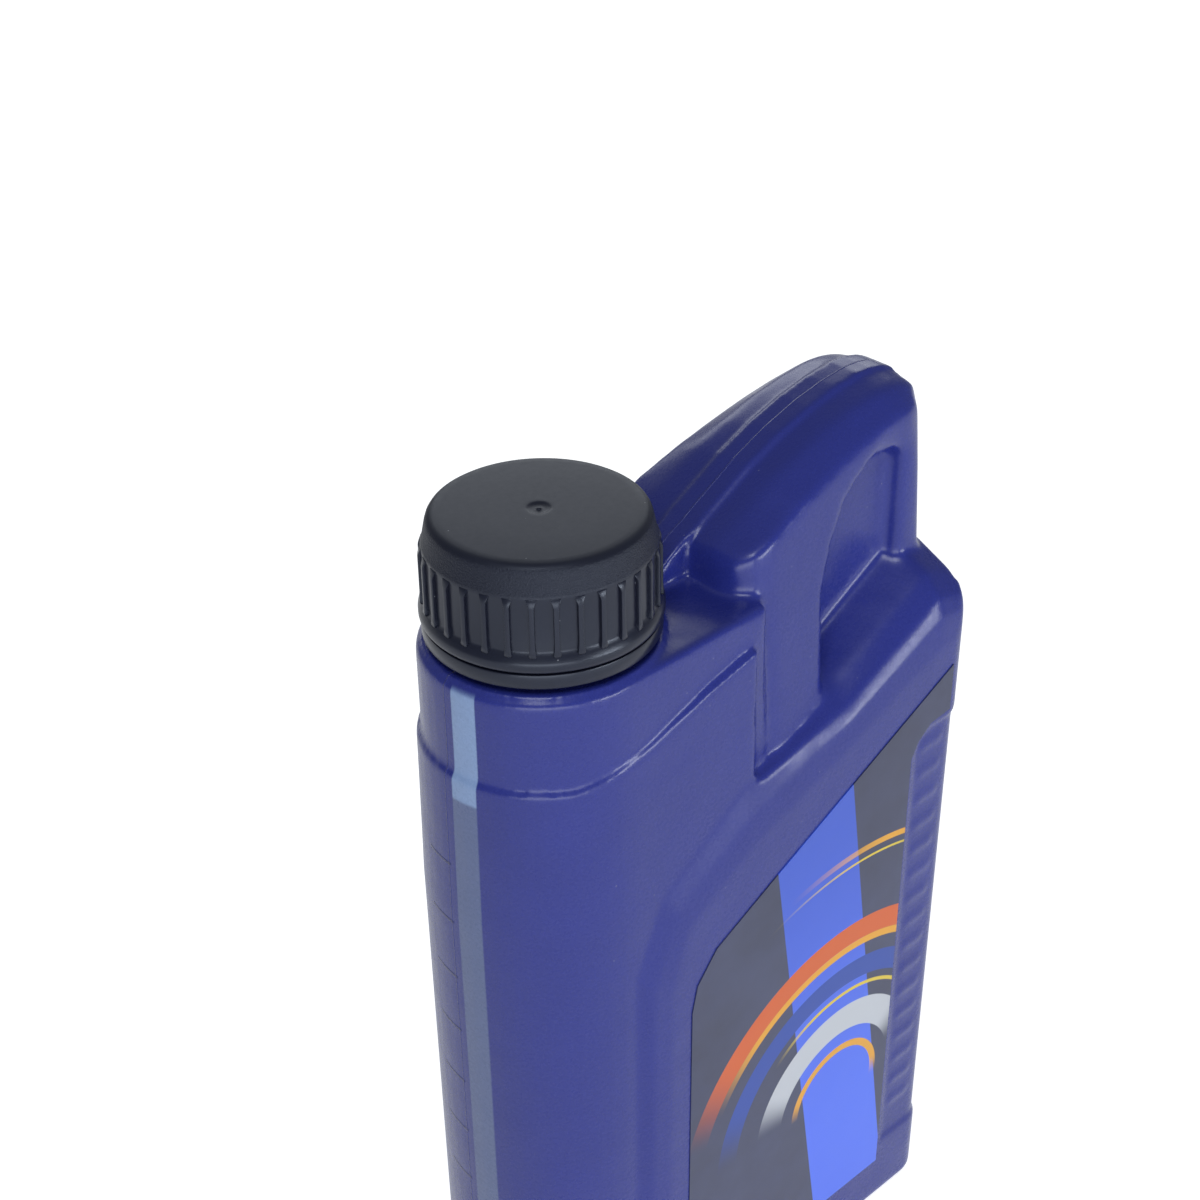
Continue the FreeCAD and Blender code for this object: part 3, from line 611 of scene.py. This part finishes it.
# Pieces
class OILBOTTLE_OT_skin(bpy.types.Operator):
    """Builds the blow-moulded skin with soft edges over the bottle's frame"""
    bl_idname = "oilbottle.skin"
    bl_label = "Bottle Skin"

    def softness(self, place):
        """The share of smoothing that a place on the skin gets."""
        across = (place.x - AXIS_X) / MM
        depth = abs(place.y) / MM
        rise = (place.z - SEAM) / MM
        if math.hypot(across, depth) < NECK_FLAT_RADIUS and rise > NECK_FLAT_RISE:
            return 0.0
        for least, depth_from, depth_to, rise_from, rise_to, share in SOFT_REGIONS:
            if across > least and depth_from < depth < depth_to and rise_from < rise < rise_to:
                return share
        return SOFT_ELSEWHERE

    def bars(self):
        """Short raised bars one above the other in the sunk strip of both sides."""
        made = []
        for side in (-1, 1):
            for step in range(BAR_COUNT):
                rise = BAR_FIRST - BAR_SPACING * step
                bpy.ops.mesh.primitive_cube_add(
                    size=1, location=from_axis(BAR_PLACE[0], side * BAR_PLACE[1], rise))
                bar = bpy.context.object
                bar.scale = [part * MM for part in BAR_SIZE]
                made.append(settle(bar))
        return made

    def execute(self, context):
        settings = context.scene.oil_bottle_skin
        source = frame["nodes"]["bottle_body"]
        skin = bpy.data.objects.new("bottle_skin", source.data.copy())
        context.collection.objects.link(skin)
        edit(skin)
        bpy.ops.mesh.select_all(action="SELECT")
        bpy.ops.mesh.remove_doubles(threshold=0.001 * MM)
        select_faces(skin, lambda centre, normal: (
            normal.z > 0.9 and centre.z > NECK_TOP - 0.05 * MM
            and math.hypot(centre.x - AXIS_X, centre.y) < 18.5 * MM))
        bpy.ops.mesh.delete(type="FACE")
        # the hollow is what hangs on the bore
        select_faces(skin, lambda centre, normal: (
            SEAM + 4 * MM < centre.z < SEAM + 16 * MM
            and math.hypot(centre.x - AXIS_X, centre.y) < 16.5 * MM))
        bpy.ops.mesh.select_linked()
        bpy.ops.mesh.separate(type="SELECTED")
        end_edit()
        hollow = next(piece for piece in context.selected_objects if piece != skin)

        edit(skin, "EDGE")
        bpy.ops.mesh.select_non_manifold(extend=False)
        bpy.ops.mesh.edge_face_add()
        end_edit()
        skin = joined([skin, *self.bars()], "bottle_skin")
        voxel = settings.voxel * 1.0
        apply_modifier(skin, "REMESH", "first mesh", mode="VOXEL", voxel_size=voxel)
        group = skin.vertex_groups.new(name="soft")
        shares = {}
        for vertex in skin.data.vertices:
            shares.setdefault(self.softness(vertex.co), []).append(vertex.index)
        for share, members in shares.items():
            if share > 0:
                group.add(members, share, "REPLACE")
        rounds = SMOOTH_SOFT
        apply_modifier(skin, "SMOOTH", "all over", factor=0.5, iterations=SMOOTH_ALL)
        apply_modifier(skin, "SMOOTH", "soft edges", factor=0.5, iterations=rounds, vertex_group="soft")
        count = 2 * len(skin.data.polygons)
        apply_modifier(skin, "DECIMATE", "fewer", ratio=min(1.0, settings.triangles / count))

        edit(hollow, "EDGE")
        bpy.ops.mesh.select_non_manifold(extend=False)
        bpy.ops.mesh.extrude_edges_move(TRANSFORM_OT_translate={"value": (0, 0, 3 * MM)})
        bpy.ops.mesh.edge_face_add()
        bpy.ops.mesh.select_all(action="SELECT")
        bpy.ops.mesh.normals_make_consistent(inside=False)
        end_edit()
        apply_modifier(skin, "BOOLEAN", "hollow", operation="DIFFERENCE", solver="EXACT",
                       object=hollow)
        bpy.data.objects.remove(hollow)
        smooth_by_angle(skin, SKIN_CRISP)
        dress(skin, bottle_plastic(settings))
        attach(skin, "bottle")
        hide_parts("bottle_body")
        return {"FINISHED"}


class OILBOTTLE_OT_cap(bpy.types.Operator):
    """Turns the screw cap and sets its grip ribs and inner thread"""
    bl_idname = "oilbottle.cap"
    bl_label = "Screw Cap"

    def execute(self, context):
        settings = context.scene.oil_bottle_cap
        body = turned("screw_cap_shell", CAP_PROFILE)
        rib = self.rib()
        edit(rib)
        bpy.ops.mesh.select_all(action="SELECT")
        count = settings.ribs
        bpy.ops.mesh.spin(dupli=True, steps=count - 1, angle=math.tau * (count - 1) / count,
                          center=from_axis(0, 0, 0), axis=(0, 0, 1))
        end_edit()
        apply_modifier(rib, "BEVEL", "rib edges", width=0.12 * MM, segments=2, limit_method="ANGLE")
        groove = thread("cap_groove", radius=20.2, depth=-1.3, low=7.3, turns=1.25, pitch=4.5, width=2.6)
        cap = joined([body, rib, groove], "screw_cap_skin")
        smooth_by_angle(cap, TURNED_CRISP)
        dress(cap, cap_plastic(settings))
        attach(cap, "cap")
        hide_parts("screw_cap")
        return {"FINISHED"}

    def rib(self):
        """One rib: narrow, with a roof of two slopes at its top and a flared, pointed foot."""
        inside = RIB_ROOT - RIB_SUNK
        plain_selection()
        bpy.ops.mesh.primitive_plane_add(size=1 * MM, location=from_axis(0, 0, 0))
        rib = bpy.context.object
        settle(rib)
        low, half, depth = RIB_STATIONS[0]
        for vertex in rib.data.vertices:
            out = 1 if vertex.co.x > AXIS_X else 0
            side = 1 if vertex.co.y > 0 else -1
            vertex.co = from_axis(inside + out * (depth + RIB_SUNK), side * half, low)
        bpy.ops.object.mode_set(mode="EDIT")
        bpy.ops.mesh.select_all(action="SELECT")
        for high, next_half, next_depth in RIB_STATIONS[1:]:
            bpy.ops.mesh.extrude_region_move(
                TRANSFORM_OT_translate={"value": (0, 0, (high - low) * MM)})
            bpy.ops.transform.resize(
                value=((next_depth + RIB_SUNK) / (depth + RIB_SUNK), next_half / half, 1),
                center_override=from_axis(inside, 0, high))
            low, half, depth = high, next_half, next_depth
        bpy.ops.mesh.select_all(action="SELECT")
        bpy.ops.mesh.normals_make_consistent(inside=False)
        end_edit()
        return rib


class OILBOTTLE_OT_ring(bpy.types.Operator):
    """Turns the tamper ring under the cap"""
    bl_idname = "oilbottle.ring"
    bl_label = "Tamper Ring"

    def execute(self, context):
        ring = turned("tamper_ring_skin", RING_PROFILE, close_start=False, close_end=False)
        ring_between(ring)
        smooth_by_angle(ring, TURNED_CRISP)
        dress(ring, bpy.data.materials["cap plastic"])
        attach(ring, "bottle")
        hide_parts("tamper_ring")
        return {"FINISHED"}


class OILBOTTLE_OT_liner(bpy.types.Operator):
    """Makes the sealing disc that sits inside the cap's roof"""
    bl_idname = "oilbottle.liner"
    bl_label = "Sealing Disc"

    def execute(self, context):
        low = (LINER_LOW.z - SEAM) / MM
        high = (LINER_HIGH.z - SEAM) / MM
        radius = (LINER_HIGH.x - LINER_LOW.x) / 2 / MM
        liner = turned("cap_liner_skin", [
            (1.0, low), (15.0, low), (15.4, low + 0.12), (18.4, low + 0.12), (18.6, low),
            (radius - 0.25, low), (radius, low + 0.25), (radius, high - 0.25), (radius - 0.25, high),
            (1.0, high)])
        smooth_by_angle(liner, TURNED_CRISP)
        dress(liner, foam(context.scene.oil_bottle_cap))
        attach(liner, "lift_stage")
        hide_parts("cap_liner")
        return {"FINISHED"}


class OILBOTTLE_OT_labels(bpy.types.Operator):
    """Prints the two labels and colours the oil, whose frame shapes stay"""
    bl_idname = "oilbottle.labels"
    bl_label = "Labels and Oil"

    def execute(self, context):
        settings = context.scene.oil_bottle_print
        for node, mirrored in (("front_label", False), ("back_label", True)):
            film = printed_film(node.replace("_", " "), settings, mirrored)
            dress(frame["nodes"][node], film)
        dress(frame["nodes"]["motor_oil"], oil_liquid(settings))
        return {"FINISHED"}


# Soft lights, in metres: name, place, width and height, and strength as a share of the key light's
LIGHTS = (
    ("key light", (-0.45, -0.38, 1.05), (0.36, 0.36), 1.0),
    ("front light", (-0.90, -1.05, 0.20), (1.3, 0.4), 2.1),
    ("side light", (0.28, -1.18, 0.28), (0.6, 0.16), 1.5),
    ("back light", (0.90, 1.05, 0.72), (1.1, 0.6), 1.3),
)
LIGHT_COLOUR = (0.92, 0.96, 1.0)
LIGHT_AIM = (0, 0, 0.13)

# The floor's size, colour and the white it adds where it is seen, and the surround's colour and white
FLOOR_SIZE = 8
FLOOR_COLOUR = (0.86, 0.87, 0.88, 1)
FLOOR_WHITE = 0.80
FLOOR_IN_GLOSS = 0.6
SURROUND_COLOUR = (0.90, 0.94, 1.0, 1)
SURROUND_WHITE = 1.06


class OILBOTTLE_OT_stage(bpy.types.Operator):
    """Sets a white floor, a pale surround, soft lights and the camera"""
    bl_idname = "oilbottle.stage"
    bl_label = "Stage"

    camera_place = (-0.23935, -0.2418, 0.4045)
    camera_forward = (0.5676, 0.6303, -0.5297)
    camera_roll = math.radians(-0.88)
    camera_lens = 58.3

    def execute(self, context):
        settings = context.scene.oil_bottle_stage
        self.floor()
        self.surround(context.scene, settings)
        for name, place, size, share in LIGHTS:
            self.soft_light(name, place, size, share * settings.key_power)
        self.camera(context.scene)
        context.scene.view_settings.view_transform = "Standard"
        return {"FINISHED"}

    def seen_white(self, tree, glossy_share):
        """1 where the camera or a clear piece sees a surface, and a share where a reflection does."""
        rays = tree.nodes.new("ShaderNodeLightPath")
        total = rays.outputs["Is Camera Ray"]
        for name, share in (("Is Glossy Ray", glossy_share), ("Is Transmission Ray", 1.0)):
            add = tree.nodes.new("ShaderNodeMath")
            add.operation = "MULTIPLY_ADD"
            add.use_clamp = True
            add.inputs[1].default_value = share
            tree.links.new(rays.outputs[name], add.inputs[0])
            tree.links.new(total, add.inputs[2])
            total = add.outputs[0]
        return total

    def floor(self):
        plain_selection()
        bpy.ops.mesh.primitive_plane_add(size=FLOOR_SIZE, location=(0, 0, 0))
        floor = bpy.context.object
        floor.name = "floor"
        material = bpy.data.materials.new("floor white")
        material.use_nodes = True
        tree = material.node_tree
        shader = tree.nodes["Principled BSDF"]
        shader.inputs["Base Color"].default_value = FLOOR_COLOUR
        shader.inputs["Roughness"].default_value = 0.9
        shader.inputs["Emission Color"].default_value = (1, 1, 1, 1)
        lift = tree.nodes.new("ShaderNodeMath")
        lift.operation = "MULTIPLY"
        lift.inputs[1].default_value = FLOOR_WHITE
        tree.links.new(self.seen_white(tree, FLOOR_IN_GLOSS), lift.inputs[0])
        tree.links.new(lift.outputs[0], shader.inputs["Emission Strength"])
        floor.data.materials.append(material)

    def surround(self, scene, settings):
        world = scene.world or bpy.data.worlds.new("surround")
        scene.world = world
        world.use_nodes = True
        tree = world.node_tree
        background = next(node for node in tree.nodes if node.type == "BACKGROUND")
        background.inputs["Color"].default_value = SURROUND_COLOUR
        strength = tree.nodes.new("ShaderNodeMapRange")
        strength.inputs["To Min"].default_value = settings.world
        strength.inputs["To Max"].default_value = SURROUND_WHITE
        tree.links.new(self.seen_white(tree, settings.glossy_share), strength.inputs["Value"])
        tree.links.new(strength.outputs["Result"], background.inputs["Strength"])

    def soft_light(self, name, place, size, power):
        light = bpy.data.lights.new(name, "AREA")
        light.shape = "RECTANGLE"
        light.size, light.size_y = size
        light.energy = power
        light.color = LIGHT_COLOUR
        lamp = bpy.data.objects.new(name, light)
        lamp.location = place
        aim = Vector(LIGHT_AIM) - lamp.location
        lamp.rotation_euler = aim.to_track_quat("-Z", "Y").to_euler()
        lamp.visible_camera = False
        bpy.context.collection.objects.link(lamp)

    def camera(self, scene):
        data = bpy.data.cameras.new("camera")
        data.lens = self.camera_lens
        data.sensor_width = 36
        data.clip_start = 0.01
        camera = bpy.data.objects.new("camera", data)
        forward = Vector(self.camera_forward).normalized()
        right = forward.cross(Vector((0, 0, 1))).normalized()
        up = right.cross(forward)
        turn = Matrix((right, up, -forward)).transposed().to_4x4()
        camera.matrix_world = (Matrix.Translation(self.camera_place) @ turn
                               @ Matrix.Rotation(self.camera_roll, 4, "Z"))
        scene.collection.objects.link(camera)
        scene.camera = camera


class OILBOTTLE_PT_panel(bpy.types.Panel):
    """The bottle's pieces and their settings"""
    bl_label = "Motor Oil Bottle"
    bl_space_type = "VIEW_3D"
    bl_region_type = "UI"
    bl_category = "Bottle"

    def draw(self, context):
        for piece in PIECES:
            self.layout.operator(piece.bl_idname)
        for name in SETTINGS:
            box = self.layout.box()
            group = getattr(context.scene, name)
            for key in group.__annotations__:
                box.prop(group, key)


PIECES = (OILBOTTLE_OT_skin, OILBOTTLE_OT_cap, OILBOTTLE_OT_ring, OILBOTTLE_OT_liner,
          OILBOTTLE_OT_labels, OILBOTTLE_OT_stage)
SETTINGS = {"oil_bottle_skin": SkinSettings, "oil_bottle_cap": CapSettings,
            "oil_bottle_print": PrintSettings, "oil_bottle_stage": StageSettings}
CLASSES = (*SETTINGS.values(), *PIECES, OILBOTTLE_PT_panel)


def register():
    for item in CLASSES:
        bpy.utils.register_class(item)
    for name, group in SETTINGS.items():
        setattr(bpy.types.Scene, name, bpy.props.PointerProperty(type=group))


def unregister():
    for name in SETTINGS:
        delattr(bpy.types.Scene, name)
    for item in reversed(CLASSES):
        bpy.utils.unregister_class(item)


def main():
    register()
    bpy.ops.oilbottle.skin()
    bpy.ops.oilbottle.cap()
    bpy.ops.oilbottle.ring()
    bpy.ops.oilbottle.liner()
    bpy.ops.oilbottle.labels()
    bpy.ops.oilbottle.stage()


if __name__ == "__main__":
    main()
